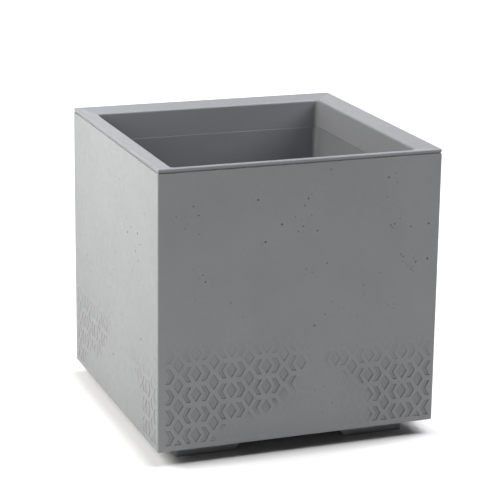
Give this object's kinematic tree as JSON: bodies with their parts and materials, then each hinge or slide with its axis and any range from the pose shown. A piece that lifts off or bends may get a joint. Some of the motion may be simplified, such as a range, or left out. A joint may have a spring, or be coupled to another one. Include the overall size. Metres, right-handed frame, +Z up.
{
  "type": "planter box",
  "caption": "Square straight-sided planter box in grey concrete-look plastic, with a sloping top frame, a lift-out liner with a drain plug, and low corner feet.",
  "frame": {"origin": "on the ground at the middle of the footprint", "axes": "+Z up; the front face looks along -Y and the left face along -X; the four faces are alike"},
  "size_m": [0.4, 0.4, 0.406],
  "materials": {
    "shell_plastic": "matt mid grey with a fine concrete-look grain and scattered small pits",
    "frame_plastic": "satin mid grey, smoother than the walls",
    "liner_plastic": "satin mid grey, smooth",
    "foot_plastic": "matt mid grey",
    "plug_rubber": "matt black, slightly soft",
    "screw_steel": "plain bright zinc"
  },
  "bodies": {
    "shell": {"outer_shell": "shell_plastic", "top_frame": "frame_plastic", "foot_front_left": "foot_plastic", "foot_front_right": "foot_plastic", "foot_back_left": "foot_plastic", "foot_back_right": "foot_plastic", "foot_screw_front_left": "screw_steel", "foot_screw_front_right": "screw_steel", "foot_screw_back_left": "screw_steel", "foot_screw_back_right": "screw_steel"},
    "liner": {"liner": "liner_plastic"},
    "plug": {"drain_plug": "plug_rubber"}
  },
  "joints": [
    {"name": "liner_lift", "type": "slide", "parent": "shell", "child": "liner", "axis": [0, 0, 1], "range_m": [0, 0.385]},
    {"name": "plug_pull", "type": "slide", "parent": "liner", "child": "plug", "axis": [0, 0, 1], "range_m": [0, 0.03]}
  ]
}
